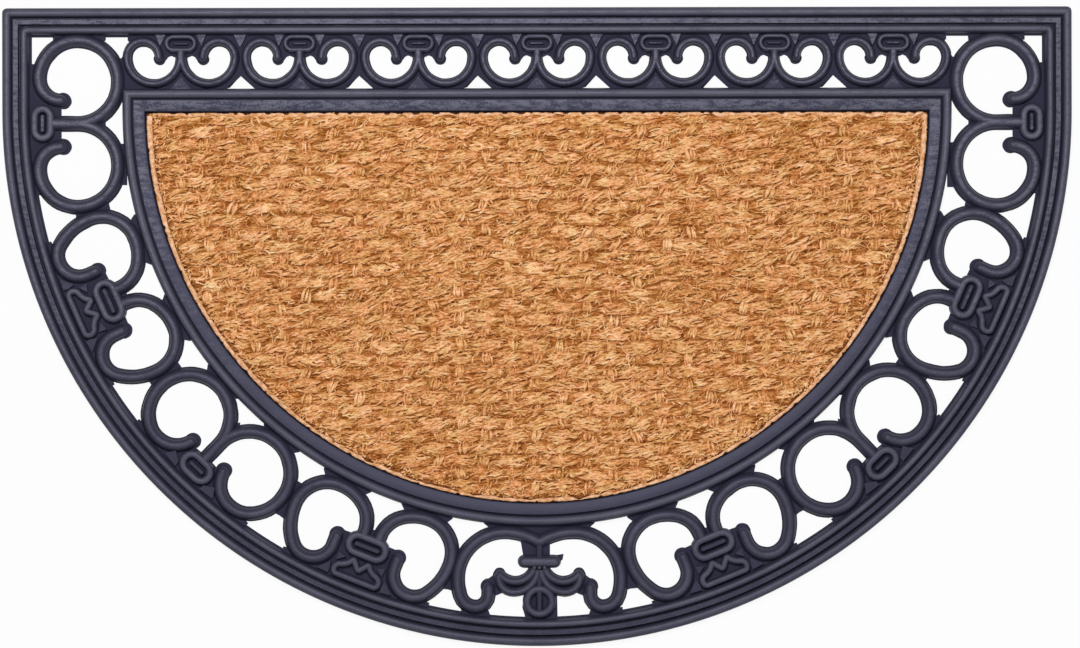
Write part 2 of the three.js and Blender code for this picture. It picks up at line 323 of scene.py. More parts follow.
def bar(line, size):
    section = bothSides(size["profile"])[::-1]
    normal = np.column_stack([-np.sin(line[:, 2]), np.cos(line[:, 2])])
    offset = np.repeat(section[None, :, 0], len(line), axis=0)
    foot = section[:, 1] <= size["footTop"]
    offset[:, foot & (section[:, 0] < 0)] -= np.abs(wander(len(line), size["burr"]))[:, None]
    offset[:, foot & (section[:, 0] > 0)] += np.abs(wander(len(line), size["burr"]))[:, None]
    rings = np.empty((len(line), len(section), 3))
    rings[:, :, :2] = line[:, None, :2] + offset[:, :, None] * normal[:, None, :]
    rings[:, :, 2] = section[:, 1]
    return skin(rings)


def barEnd(line, size):
    # the round end of a bar, on a foot that stands out further
    x, y, heading = line[-1]
    count = 20
    around = np.linspace(0, 2 * math.pi, count, endpoint=False)
    rings = []
    for offset, z in size["endProfile"]:
        ahead = size["ahead"] if z <= size["footTop"] + 1 else 0
        radius = max(offset, 0.15) + (np.abs(wander(count, size["burr"])) if z <= size["footTop"] else 0)
        rings.append(np.column_stack([
            x + ahead * math.cos(heading) + radius * np.cos(around),
            y + ahead * math.sin(heading) + radius * np.sin(around), np.full(count, z)]))
    return skin(rings)


def scrollOf(steps, size):
    line = walk(steps, size["step"])
    return [bar(line, size), barEnd(line, size)]


def pairOf(steps, size):
    return scrollOf(steps, size) + [mirrored(solid) for solid in scrollOf(steps, size)]


def stadium(long, short, grow=0.0, upright=False, steps=9):
    run = (long - short) / 2
    angle = np.linspace(-math.pi / 2, math.pi / 2, steps)
    right = np.column_stack([run + (short / 2 + grow) * np.cos(angle), (short / 2 + grow) * np.sin(angle)])
    outline = np.concatenate([right, -right])
    return np.column_stack([-outline[:, 1], outline[:, 0]]) if upright else outline


def layered(outlineAt, profile, closed=False):
    # skin over an outline, given as a function of how far it is grown, that rises with a profile
    return skin([raisedTo(outlineAt(grow), z) for grow, z in profile], closed)


def beadRound(outlineAt, profile):
    return layered(outlineAt, bothSides(profile)[::-1], closed=True)


def plate(points, top):
    # flat-topped, in small triangles, so that a union leaves no face with a hole in it
    outline = np.array(points, float)
    after = np.roll(outline, -1, axis=0)
    area = np.sum(outline[:, 0] * after[:, 1] - outline[:, 1] * after[:, 0])
    outline = outline if area > 0 else outline[::-1]
    solid = bmesh.new()
    skinPoints, faces = skin([raisedTo(outline, 0), raisedTo(outline, top)])
    corners = [solid.verts.new(point) for point in skinPoints]
    for face in faces:
        solid.faces.new([corners[i] for i in face])
    long = solid.edges[:]
    while long:
        bmesh.ops.triangulate(solid, faces=solid.faces)
        long = [edge for edge in solid.edges if edge.calc_length() > 6]
        bmesh.ops.subdivide_edges(solid, edges=long, cuts=1)
    solid.verts.index_update()
    made = np.array([vert.co for vert in solid.verts]), [[v.index for v in f.verts] for f in solid.faces]
    solid.free()
    return made


def box(x0, x1, y0, y1):
    return [(x0, y0), (x1, y0), (x1, y1), (x0, y1)]


def mirroredOutline(half):
    # whole outline from its right half, listed from the top of the middle line to its bottom
    return [(-x, y) for x, y in half if x != 0] + half[::-1]


def softened(points, cut, steps=4):
    # outline with each corner rounded off
    points = np.array(points, float)
    before, after = np.roll(points, 1, axis=0), np.roll(points, -1, axis=0)
    outline = []
    for p, q, r in zip(before, points, after):
        a = q + (p - q) * min(0.5, cut / np.linalg.norm(p - q))
        b = q + (r - q) * min(0.5, cut / np.linalg.norm(r - q))
        for t in np.linspace(0, 1, steps):
            outline.append((1 - t) ** 2 * a + 2 * t * (1 - t) * q + t * t * b)
    return np.array(outline)


def grown(outline, offset):
    # each point moved out along the normal there
    tangent = np.roll(outline, -1, axis=0) - np.roll(outline, 1, axis=0)
    tangent /= np.linalg.norm(tangent, axis=1)[:, None]
    return outline + offset * np.column_stack([tangent[:, 1], -tangent[:, 0]])


# Rubber moulding

rim = {
    "outerCorner": 3.4,
    "innerCorner": 6,
    "innerFrom": 12.1,  # inset at which the inner bead starts
    # inset from the mat's edge, height
    "profile": [
        (0, 0), (0, 4.6), (0.35, 6.6), (1.0, 8.2), (2.0, 9.3), (3.3, 9.9), (4.3, 9.9), (5.4, 9.3),
        (6.2, 8.2), (6.7, 6.6), (7.0, 4.6), (7.7, 4.6), (8.0, 7.4), (8.4, 8.7), (11.6, 8.7),
        (11.9, 7.4), (12.1, 4.8), (12.7, 4.8), (13.0, 6.8), (13.6, 8.5), (14.5, 9.6), (15.6, 10),
        (16.7, 9.7), (17.6, 8.8), (18.3, 7.2), (18.8, 5.2), (19.1, 3.2), (20, 2.8),
        (20.2, 2.2), (20.2, 0),
    ],
}
innerFrame = {
    # offset out from the recess, height
    "profile": [
        (0.1, 0), (0.1, 7.2), (0.35, 7.7), (0.9, 8), (8.0, 8), (8.4, 7.4), (8.6, 5.8), (9.2, 5.6),
        (9.5, 7.6), (10.2, 9.1), (11.4, 10.2), (12.7, 10.5), (13.9, 10.1), (14.9, 9), (15.7, 7.2),
        (16.2, 5.4), (16.5, 3), (16.6, 0),
    ],
    "recessRadius": 274.5,
    "floor": 2.5,
}
largeBar = {
    "step": 3.3, "footTop": 3, "burr": 0.2, "ahead": 0.9,
    "profile": [(5.15, 0), (5.15, 2.6), (4.8, 3), (4.3, 4.2), (3.75, 6), (3, 7.6), (2, 8.6), (1, 9.05),
                (0, 9.2)],
    "endProfile": [(5.7, 0), (5.7, 2.2), (5.4, 2.9), (4.9, 3), (4.4, 3.2), (4.1, 4.4), (3.6, 6.2),
                   (2.9, 7.7), (1.9, 8.6), (1, 9), (0, 9.15)],
}
smallBar = {
    "step": 2.7, "footTop": 2.6, "burr": 0.18, "ahead": 0.6,
    "profile": [(3.5, 0), (3.5, 2.2), (3.2, 2.6), (2.8, 4.2), (2.45, 6.2), (1.85, 7.8), (1, 8.7), (0, 9)],
    "endProfile": [(4.1, 0), (4.1, 2), (3.8, 2.5), (3.3, 2.6), (2.9, 3.2), (2.6, 4.6), (2.3, 6.4),
                   (1.7, 7.8), (0.9, 8.6), (0, 8.9)],
}
leafBar = {
    "step": 2.2, "footTop": 2.6, "burr": 0.12, "ahead": 0.5,
    "profile": [(3.6, 0), (3.6, 2.2), (3.4, 3), (3.1, 5.4), (2.6, 7.2), (1.75, 8.5), (0.9, 9.1), (0, 9.3)],
    "endProfile": [(4.1, 0), (4.1, 2.2), (3.8, 2.6), (3.4, 3), (3.1, 5.2), (2.6, 7.2), (1.75, 8.5),
                   (0.9, 9.1), (0, 9.3)],
}
collar = {
    "bead": [(2.85, 0), (2.85, 5.2), (2.7, 7), (2.3, 8.4), (1.6, 9.2), (0.8, 9.55), (0, 9.6)],
    "island": [(0, 0), (0, 6.2), (-0.3, 7.6), (-0.8, 8.2)],
    "wall": 4.6,
    "floor": 3.2,
}
topCollar = {
    "bead": [(1.75, 0), (1.75, 5.4), (1.6, 7), (1.2, 8.4), (0.65, 9.1), (0, 9.3)],
    "island": [(0, 0), (0, 4.6), (-0.25, 5.2), (-0.5, 5.4)],
    "wall": 3.2,
    "floor": 3,
}
crown = {
    "bead": [(2.5, 0), (2.5, 5), (2.35, 7), (1.9, 8.6), (1.1, 9.3), (0, 9.5)],
    "outline": [(0, -345.8), (5.6, -338.9), (8.2, -342.6), (11.6, -344.7), (14.8, -345.7), (16.5, -347.8),
                (16.5, -350.8), (15, -352.6), (0, -352.6)],
    "floor": 3.2,
}
webTop = 3
padTop = 6.2  # raised flats beside the crowns and collars
topPadTop = 6.4  # the same along the straight edge
topFootTop = 5.4  # and where its pairs stand on the inner frame
overlap = 2  # how far a web runs into the rim or the frame

# the pairs along the curve by their angle from its middle, and along the straight edge
curvePairs = {"leaf": (-66.2, -21.4, 22, 66.5), "plain": (-43.8, 44.3)}
cornerAngle = 88.8
centreShift = 1  # the centre motif stands a little off the middle
# between two pairs, from the middle outwards: how far from the centre the web starts and ends
stationWebs = [(311.5, 342), (309, 337), (307.5, 332.5), (307.5, 332.5)]
cornerY = 143
topPlaces = [83.2 * i for i in range(-3, 4)]
frameEdge = -290.8
rimEdge = -356
rimFoot = rimEdge - overlap
topRimEdge = 205
topFrameEdge = 167.3

# each runs from its start's x, y and heading: a number is the length of a straight, a pair the
# radius and turn of an arc
scrolls = {
    "leaf": {"start": (-5.6, -322.5, 90), "steps": [
        4.5, (22, 55), (33, 35), (24.5, 90), 1.2, (40, 37), (15.3, 143), 6.4]},
    "plain": {"start": (-0.1, -339.5, 90), "steps": [16.8, (29, 225), (21.5, 45), (19.5, 68), 2.6]},
    "centre": {"start": (0, -302, 148), "steps": [
        (46, 32), (33, 90), (40, 17), (11.5, 73), (9, 90), 4.6]},
    "upperLeaf": {"start": (-3.7, -320.4, 250), "steps": [(14, -120)]},
    "lowerLeaf": {"start": (-1.1, -321.5, 265), "steps": [(17, -85), (10.5, -90), 0.6]},
    "corner": {"start": (-342, 0.3, 0), "steps": [
        19.6, (28.5, 90), 1.2, (28.5, 90), (27, 90), (15.4, 90), 0.4]},
    "top": {"start": (-0.5, 194, -90), "steps": [4.5, (18.7, -180), (11.3, -180), 0.6]},
}
stem = {
    "low": -352, "high": -299,
    "profile": [(2.6, 0), (2.6, 3), (2.3, 5), (1.8, 7), (1.1, 8), (0, 8.4)],
}
crossBar = {
    "y": -315.7, "long": 30.5, "short": 9.2,
    "profile": [(0, 0), (0, 3), (-0.3, 5.2), (-0.9, 7.2), (-1.8, 8.7), (-2.9, 9.4), (-3.9, 9.6)],
}
stemRing = {
    "y": -343.4, "radius": 8.8,
    "profile": [(3, 0), (3, 4.6), (2.85, 6.6), (2.3, 8.2), (1.2, 9.1), (0, 9.4)],
}


def arc(x, y, radius, start, end, count=7):
    angle = np.radians(np.linspace(start, end, count))
    return list(zip(x + radius * np.cos(angle), y + radius * np.sin(angle)))


def flipped(points):
    return [(-x, y) for x, y in points]


def halfRoundOutline(radius, rise, corner, around=150, across=40):
    # counter-clockwise from the right end of the diameter
    top, end = curveY + rise, radius - corner
    right = arc(end, top - corner, corner, 0, 90, 5)
    straight = [(x * end, top) for x in np.linspace(1, -1, across + 1)[1:-1]]
    side = [(radius, y) for y in np.linspace(top - corner, curveY, 6)[1:-1]]
    curve = arc(0, curveY, radius, 180, 360, around)
    return np.array(right + straight + flipped(right)[::-1] + flipped(side) + curve + side[::-1])


def rimSolid():
    radius, rise = matHigh.x, matHigh.y - curveY

    def outlineOf(inset):
        inner = inset - rim["innerFrom"]
        corner = rim["outerCorner"] - inset if inner < 0 else rim["innerCorner"] - inner
        return halfRoundOutline(radius - inset, rise - inset, max(corner, 0.3))

    return layered(outlineOf, rim["profile"], closed=True)


def innerFrameSolids():
    radius = innerFrame["recessRadius"]

    def outlineOf(offset):
        return halfRoundOutline(radius + offset, offset, 0.05)

    tray = layered(outlineOf, [(overlap, 0), (overlap, innerFrame["floor"])])
    return [layered(outlineOf, innerFrame["profile"][::-1], closed=True), tray]


def collarSolids(x, y, long, short, island, size, upright=False):
    wall = size["wall"]

    def outlineAt(grow):
        return stadium(long - wall, short - wall, grow, upright)

    middle = layered(lambda grow: stadium(*island, grow, upright), size["island"])
    made = [beadRound(outlineAt, size["bead"]), plate(outlineAt(0), size["floor"]), middle]
    return [moved(solid, x, y) for solid in made]


def crownSolids():
    outline = softened(mirroredOutline(crown["outline"]), 1.3)
    bead = beadRound(lambda grow: grown(outline, grow), crown["bead"])
    return [bead, plate(outline, crown["floor"])]


def web(points, top=webTop):
    return plate(points, top)


def webPair(points, top=webTop):
    # a web and its mirror image
    return [web(points, top), web(flipped(points), top)]


def loopWebs(start, end):
    # where the loops meet the inner frame
    return webPair([(start, -286), (start, -290.8), (start + 3.5, -294.2), (22, -296.4), (38, -295.5),
                    (end - 3, -292.3), (end, -288), (end, -283)])


def rimWeb(half):
    # from a collar down to the rim, as wide there as its last point
    return web(mirroredOutline(half + [(half[-1][0], rimFoot), (0, rimFoot)]))


def leafPair():
    return [
        *pairOf(scrolls["leaf"], largeBar),
        *collarSolids(0, -328, 31.4, 17, (19.4, 3.8), collar),
        *crownSolids(),
        *loopWebs(11, 48.5),
        rimWeb([(0, -322), (22, -323), (22, -335), (34, -347.6), (55, -349)]),
        web([(-4, -315.2), (4, -315.2), (4, -324), (-4, -324)]),
        *webPair([(11.5, -339.5), (17.5, -337.5), (17, -343.5)], padTop),
        *webPair([(20.4, -346), (27.9, -353.5), (19.6, -354.3), (19.2, -351)], padTop),
    ]


def plainPair():
    return [
        *pairOf(scrolls["plain"], largeBar),
        *collarSolids(0, -345.3, 26.5, 17.4, (13.6, 3.6), collar),
        *loopWebs(12.5, 44.5),
        rimWeb([(0, -335.4), (15, -336.6), (20, -341), (34, -347.6), (53, -349.2)]),
        web(mirroredOutline([(0, -301.7), (7, -312), (0, -324)])),
        *webPair([(18.8, -346.8), (23.3, -353.5), (11.7, -354.8), (12.1, -351)], padTop),
    ]


def centrePair():
    size = crossBar["long"], crossBar["short"]
    cross = layered(lambda grow: stadium(*size, grow), crossBar["profile"])
    upright = np.array([(0, stem["low"], math.pi / 2), (0, stem["high"], math.pi / 2)])
    stemSize = {"profile": stem["profile"], "footTop": -9, "burr": 0}
    circle = np.radians(np.arange(0, 360, 10))
    circle = np.column_stack([np.cos(circle), np.sin(circle)])
    ring = beadRound(lambda grow: circle * (stemRing["radius"] + grow), stemRing["profile"])
    stud = layered(lambda radius: circle[::4] * radius, [(1.35, 0), (1.35, 9.8), (0.7, 10.6)])
    return [
        *pairOf(scrolls["centre"], largeBar),
        moved(cross, 0, crossBar["y"]),
        *pairOf(scrolls["upperLeaf"], leafBar),
        *pairOf(scrolls["lowerLeaf"], leafBar),
        *[moved(stud, x, -319.6) for x in (-3.4, 0.1, 3.6)],
        moved(ring, 0, stemRing["y"]),
        bar(upright, stemSize),
        # under the inner frame
        web([(39, -285), (0, frameEdge + 3), (-39, -285), (-39, -288.8), (-33, -294), (-26, -297.4),
             (0, -302), (26, -297.4), (33, -294), (39, -288.8)]),
        web([(11, -311.6), (17, -310.6), (16.4, -314.4), (13, -317)]),
        # round the stem, wider on its left
        web([(0, -292), (-16, -293), (-12.8, -303), (-11.5, -311), (-7.5, -318), (7.5, -318),
             (7.5, -302), (16, -293)]),
        web(mirroredOutline([(0, -317), (4, -320), (14, -327.3), (24, -325), (28, -322), (36, -328),
                             (35, -339), (30, -339.5), (24, -337), (16, -338), (11, -339), (12, -348),
                             (9, rimFoot), (0, rimFoot)])),
        web([(9, -339), (12.5, -340), (12.8, rimFoot), (9, rimFoot)]),
        # at the rim, longer on the right
        *[web([(end, rimFoot), (start, rimFoot), (slant, rimEdge + 8), (end, rimEdge + 8)])
          for start, slant, end in ((-33, -36.5, -55), (33, 36.5, 58.5))],
    ]


def cornerPair():
    # the left corner, its two loops above and below an upright collar
    above = walk(scrolls["corner"], largeBar["step"])
    below = above * (1, -1, -1)
    made = [make(line, largeBar) for line in (above, below) for make in (bar, barEnd)]
    made += collarSolids(-346.4, 0, 24.5, 15, (13, 3.4), dict(collar, wall=3.9), upright=True)
    made += [
        # round the collar and along the rim
        web(box(rimFoot, -334, -15, 15)),
        web(box(rimFoot, -345, -19, 19)),
        web(box(rimFoot, -349, -50, 42)),
        # under the straight edge
        web([(-340, 64), (-339.6, 58.6), (-332, 56), (-311, 56), (-303, 58.6), (-302.5, 64)]),
        # where the loops meet the inner frame, and between them
        web([(-297, 15), (-288, 15), (-288, 47.3), (-290.8, 47.3), (-292.2, 45.3), (-293.8, 47.3),
             (-297, 47.3)]),
        web(box(-297, -288, -43, -14)),
        web([(-303, -4), (-303, 4), (-312, 0)]),
        # at the inner frame's own corner
        web([(-297, 21), (-297, 46), (-289, 46), (-286, 33), (-276, 26), (-276, 21)]),
    ]
    return [moved(solid, 0, cornerY) for solid in made]


def topPair():
    rimSide, frameSide = topRimEdge + overlap, topFrameEdge - overlap
    return [
        *pairOf(scrolls["top"], smallBar),
        *collarSolids(0, 198.9, 23, 12.4, (10, 2), topCollar),
        web(mirroredOutline([(0, rimSide), (26.6, rimSide), *arc(26.6, 189.5, 11.3, 90, 180), (15.3, 187.5),
                             (11, 187.6), (9.4, 189.8), (7.3, 190.7), (4.6, 189.6), (0, 186)])),
        web(mirroredOutline([(0, 184), (16, 169.5), (16, frameSide), (0, frameSide)])),
        web([(-8, topFrameEdge - 1), (8, topFrameEdge - 1), (0, 175.5)], topFootTop),
        *webPair([(10.8, topRimEdge), (17.6, topRimEdge), (14.6, 197)], topPadTop),
    ]


def topGap():
    # between two pairs, round an open triangle that stands on the inner frame
    rimSide, frameSide = topRimEdge + overlap, topFrameEdge - overlap
    half = [(-0.5, rimSide), (15, rimSide), *arc(15, 189.5, 11.3, 90, 180),
            *arc(22.4, 189.5, 18.7, 180, 270)[1:], (22.4, frameSide), (10, frameSide),
            (10, topFrameEdge), (0, 176.4), (-0.5, 177)]
    return [*webPair(half), web([(-4.4, topRimEdge), (4.4, topRimEdge), (0, 196)], topPadTop)]


def mouldingSolids():
    made = [rimSolid(), *innerFrameSolids()]
    made += [turned(moved(solid, centreShift, 0), 0) for solid in centrePair()]
    for kind, angles in curvePairs.items():
        for angle in angles:
            made += [turned(solid, angle) for solid in (leafPair() if kind == "leaf" else plainPair())]
    stations = sorted([0, cornerAngle, -cornerAngle, *curvePairs["leaf"], *curvePairs["plain"]])
    middle = (len(stations) - 2) / 2
    for i, (first, second) in enumerate(zip(stations, stations[1:])):
        near, far = stationWebs[int(abs(i - middle))]
        between = [(0, -near), (6, -near), (5.5, -322), (7.5, -far), (0, 0.8 - far)]
        made.append(turned(web(mirroredOutline(between)), (first + second) / 2))
    corner = cornerPair()
    made += corner + [mirrored(solid) for solid in corner]
    # two more webs that only the right corner has
    made.append(web(box(303, 342.3, cornerY + 58, cornerY + 64)))
    made.append(web(box(288, 297, cornerY - 45.5, cornerY - 30)))
    for x in topPlaces:
        made += [moved(solid, x, 0) for solid in topPair()]
    for first, second in zip(topPlaces, topPlaces[1:]):
        made += [moved(solid, (first + second) / 2, 0) for solid in topGap()]
    # the two ends of the row along the straight edge, by the inner frame and by the rim
    made += webPair([(268.8, 164), (292, 164), (292, 180), *arc(268.8, 189.5, 18.7, -30, -90)])
    made += webPair([(287.2, 206), (287.2, 201.5), (283.5, 197), (268, 197), (268, 206)])
    return made


def joined(name, made, material):
    # one body from all the solids
    group = bpy.data.collections.new("solids")
    parts = [addMesh(f"solid{i}", points, faces, material) for i, (points, faces) in enumerate(made)]
    for part in parts[1:]:
        group.objects.link(part)
    union = parts[0].modifiers.new("union", "BOOLEAN")
    union.operation = "UNION"
    union.solver = "MANIFOLD"
    union.operand_type = "COLLECTION"
    union.collection = group
    mesh = bpy.data.meshes.new_from_object(parts[0].evaluated_get(bpy.context.evaluated_depsgraph_get()))
    for part in parts:
        bpy.data.objects.remove(part)
    bpy.data.collections.remove(group)
    mesh.name = name
    return addObject(name, mesh)


rubberLook = {
    "deep": rgb(44, 44, 60),  # painted shade in the recesses
    "plain": rgb(51, 51, 66),
    "dustAndHighlight": rgb(92, 92, 105),  # dust and wear on the crests and flats, with a painted highlight on the crests
    "sheen": rgb(226, 226, 255),
    "body": (3.0, 7.2),  # heights between which it lightens, so that it is darker low down as painted shade
    "crest": (8.2, 9.7),  # and lightens once more, as wear and a painted highlight on the crests
    "rough": (0.8, 0.4),  # in the recesses and on the crests
    "dustAndLightFrom": -0.05,  # painted light and more dust towards the straight edge, where the lamp stands
    "dustAndLightTo": 0.2,
}


def rubberMaterial():
    shader = Shader("moulded rubber")
    cloud = shader.noise(45, 4, 0.6)
    speckle = shader.noise(850, 3, 0.65)
    grain = shader.noise(2400, 2, 0.5)
    patches = shader.noise(330, 3, 0.6, shader.place((0.35, 1, 1)))
    height = shader.along("Z")
    # by height: darker low down as painted shade in the recesses, lighter on the crests as wear and a painted
    # highlight
    body, crest = [shader.within(height, rubberLook[name][0] * mm, rubberLook[name][1] * mm)
                   for name in ("body", "crest")]
    # the tone lightens towards the straight edge as painted light from the lamp's side, and its dust speckle
    # grows there
    straight = shader.within(shader.along("Y"), rubberLook["dustAndLightFrom"], rubberLook["dustAndLightTo"])
    dust = shader.within(speckle * 0.4 + patches * 0.6, 0.44, 0.62)
    dust = dust * shader.within(shader.facingUp(), 0.94, 0.995)
    share = (0.2 * body + 0.2 * crest + 0.24 * cloud + 0.2 * speckle + body * dust * (0.04 + 0.6 * straight)
             + 0.06 * straight - 0.02)
    # its lightest tone is dust and wear, and on the crests a painted highlight
    tone = shader.ramp(share, rubberLook, {"deep": 0.24, "plain": 0.45, "dustAndHighlight": 0.78})
    deep, top = rubberLook["rough"]
    rough = shader.within(body + 0.3 * speckle, 0.1, 0.9, deep, top)
    return shader.finish(tone, rough, 0.14, shader.bump(grain + speckle, 0.2, 0.0004), rubberLook["sheen"])


def makeMoulding():
    whole = joined("rubberMoulding", mouldingSolids(), rubberMaterial())
    mesh = whole.data
    mesh.polygons.foreach_set("use_smooth", [True] * len(mesh.polygons))
    mesh.set_sharp_from_angle(angle=math.radians(38))
    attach(whole, "root")
    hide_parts("rubber_frame")
    triangles = sum(len(face.vertices) - 2 for face in mesh.polygons)
    print("rubber moulding", triangles, "triangles")


makeMoulding()


# Coir panel: a pressed backing, plain-woven yarns on it and loose fibres on top

coir = {
    "recess": 274.2,  # radius of the panel
    "margin": 5.0,  # bare strip along the curve
    "marginLess": 1.2,  # which is so much narrower at its foot
    "topMargin": 2.6,  # and along the straight edge
    "backing": 6.2,  # height of the backing under the yarns
    "rowPitch": 8.9,  # from one weft yarn to the next
    "firstRow": 4.6,  # from the straight edge to the first of them
    "warpPitch": 17.85,
    "yarnMiddle": 7.0,
    "wave": 0.9,  # rise and fall of a weft yarn over and under the warps
    "coreStrands": 5,  # strands that run the whole length of a weft yarn
    "coreHalf": 1.45,
    "coreTurn": (2.9, 1.1),  # how far they swing across and up as the yarn turns
    "twist": 62,  # length in which it turns once
    "floatStrands": 22,  # shorter strands that plump up each float between two warps
    "floatReach": 13,
    "floatWide": 4.7,
    "floatHigh": 2.5,
    "floatLong": (2, 5.5),
    "floatHalf": (0.6, 1.15),
    "warpStrands": 4,
    "warpSpread": 1.75,
    "warpLong": (0.36, 0.54),  # share of the row pitch
    "warpHalf": (0.85, 1.25),
    "flat": 0.7,  # height of a strand against its width
    "drift": 1.6,  # how far the yarns wander from a straight line
    "seed": 5,
}
weaving = np.random.default_rng(coir["seed"])


def vary(reach, count=None):
    return weaving.normal(0, reach, count)


waves = [(vary(1, 4), weaving.uniform(0, 6.3, 2)) for _ in range(5)]


def drifted(line):
    # the whole weave pulled slightly out of line
    x, y = line[:, 0], line[:, 1]
    pulled = line.copy()
    for (a, b, c, d), (p, q) in waves:
        pulled[:, 0] += coir["drift"] * 0.45 * np.sin(x * a / 60 + y * b / 50 + p)
        pulled[:, 1] += coir["drift"] * 0.45 * np.sin(x * c / 50 + y * d / 60 + q)
    return pulled


def smoothNoise(places, size):
    # wavy values along a line, one bend about every `size` millimetres
    knots = np.arange(places[0] - size, places[-1] + 2 * size, size)
    return np.interp(places, knots, vary(1, len(knots)))


def strandMesh(name, strands, material, stacked, sides=3):
    # a tube, open at its thin ends, along each strand, which is its line, half thickness and tone
    points, faces, tones, spots = [], [], [], []
    start = 0
    columns = 1 if stacked else math.ceil(math.sqrt(len(strands)))
    rows = len(strands) if stacked else columns
    turn = np.radians(90 - np.arange(sides) * 360 / sides)
    for number, (line, half, shade) in enumerate(strands):
        count = len(line)
        along = np.gradient(line, axis=0)
        along /= np.linalg.norm(along, axis=1)[:, None]
        side = np.column_stack([-along[:, 1], along[:, 0], np.zeros(count)])
        side /= np.maximum(np.linalg.norm(side, axis=1), 1e-6)[:, None]
        up = np.cross(side, along)
        up *= np.sign(up[:, 2] + 1e-9)[:, None]
        ring = (line[:, None, :]
                + side[:, None, :] * (half[:, None] * np.cos(turn))[:, :, None]
                + up[:, None, :] * (half[:, None] * np.sin(turn) * coir["flat"])[:, :, None])
        points.append(ring.reshape(-1, 3))
        index = start + np.arange(count * sides).reshape(count, sides)
        after = np.roll(index, -1, axis=1)
        faces.append(np.stack([index[:-1], index[1:], after[1:], after[:-1]], axis=2).reshape(-1, 4))
        tones.append(np.repeat(shade, sides))
        # its own cell of the bake's layer
        left, low = (number % columns) / columns, (number // columns) / rows
        u = left + (0.06 + 0.88 * np.linspace(0, 1, count)) / columns
        v = low + (0.12 + 0.76 * np.arange(sides + 1) / sides) / rows
        uLow, uHigh = np.repeat(u[:-1], sides), np.repeat(u[1:], sides)
        vLow, vHigh = np.tile(v[:-1], count - 1), np.tile(v[1:], count - 1)
        spots.append(np.stack([uLow, vLow, uHigh, vLow, uHigh, vHigh, uLow, vHigh], axis=1))
        start += count * sides
    made = addMesh(name, np.concatenate(points), np.concatenate(faces).tolist(), material)
    mesh = made.data
    mesh.attributes.new("tone", "FLOAT", "POINT").data.foreach_set("value", np.concatenate(tones))
    layer = mesh.uv_layers.new(name="OFBake")
    layer.uv.foreach_set("vector", np.concatenate(spots).reshape(-1))
    mesh.polygons.foreach_set("use_smooth", [True] * len(mesh.polygons))
    # the two lower edges of each tube are sharp
    ends = np.empty(2 * len(mesh.edges), int)
    mesh.edges.foreach_get("vertices", ends)
    first, second = (ends % sides).reshape(-1, 2).T
    sharp = mesh.attributes.new("sharp_edge", "BOOLEAN", "EDGE")
    sharp.data.foreach_set("value", (first == second) & (first > 0))
    return made


def edgeRadius():
    return coir["recess"] - coir["margin"]


def floatPhase(row, x):
    # 1 in the middle of a float, -1 where a warp lies over the yarn
    return np.cos(math.pi * (x / coir["warpPitch"] + row))


def weftRows():
    count = int((coirHigh.y - coirLow.y - coir["margin"]) / coir["rowPitch"])
    return [(row, coirHigh.y - coir["firstRow"] - row * coir["rowPitch"]) for row in range(count + 1)]


def coreStrands():
    strands = []
    across, up = coir["coreTurn"]
    for row, y in weftRows():
        reach = (edgeRadius() + coir["marginLess"] * (y / coir["recess"]) ** 2) ** 2 - (y - coirHigh.y) ** 2
        if reach < 100:
            continue
        reach = math.sqrt(reach) - 1
        x = np.arange(-reach, reach + 1, 5)
        wobble = 0.4 * smoothNoise(x, 26)
        for k in range(coir["coreStrands"]):
            turn = 2 * math.pi * (k / coir["coreStrands"] + x / coir["twist"])
            turn += 0.45 * smoothNoise(x, 24) + row * 1.7
            phase = floatPhase(row, x)
            line = np.column_stack([
                x,
                y + wobble - across * (1 + 0.15 * phase) * np.cos(turn) + 0.4 * smoothNoise(x, 9),
                coir["yarnMiddle"] - 0.65 + 0.8 * coir["wave"] * phase + up * np.sin(turn),
            ])
            half = coir["coreHalf"] * (1 + 0.2 * smoothNoise(x, 9))
            half[[0, -1]] *= 0.35
            tone = weaving.normal(0.36, 0.1) + 0.25 * smoothNoise(x, 6)
            line[:, 1] = np.minimum(line[:, 1], coirHigh.y - coir["topMargin"] - 1)
            strands.append((line, np.clip(half, 0.3, 1.9), tone))
    return strands


def taper(sections):
    return np.sin(np.linspace(0.3, math.pi - 0.3, sections)) ** 0.7


def weavePlaces(over):
    # where a weft yarn lies over its warp, or a warp over the weft
    warps = int(coir["recess"] / coir["warpPitch"]) + 1
    for row, y in weftRows():
        for warp in range(-warps, warps + 1):
            x = warp * coir["warpPitch"]
            if (warp + row) % 2 == (0 if over else 1) and math.hypot(x, y - coirHigh.y) < edgeRadius() + 12:
                yield x, y


def inside(line, half):
    # true if the strand keeps clear of the pressed margin
    x, y = line[:, 0], line[:, 1] - coirHigh.y
    reach = edgeRadius() + coir["marginLess"] * (y / coir["recess"]) ** 2
    return np.all(np.hypot(x, y) < reach - half) and np.all(y < -coir["topMargin"] - half)


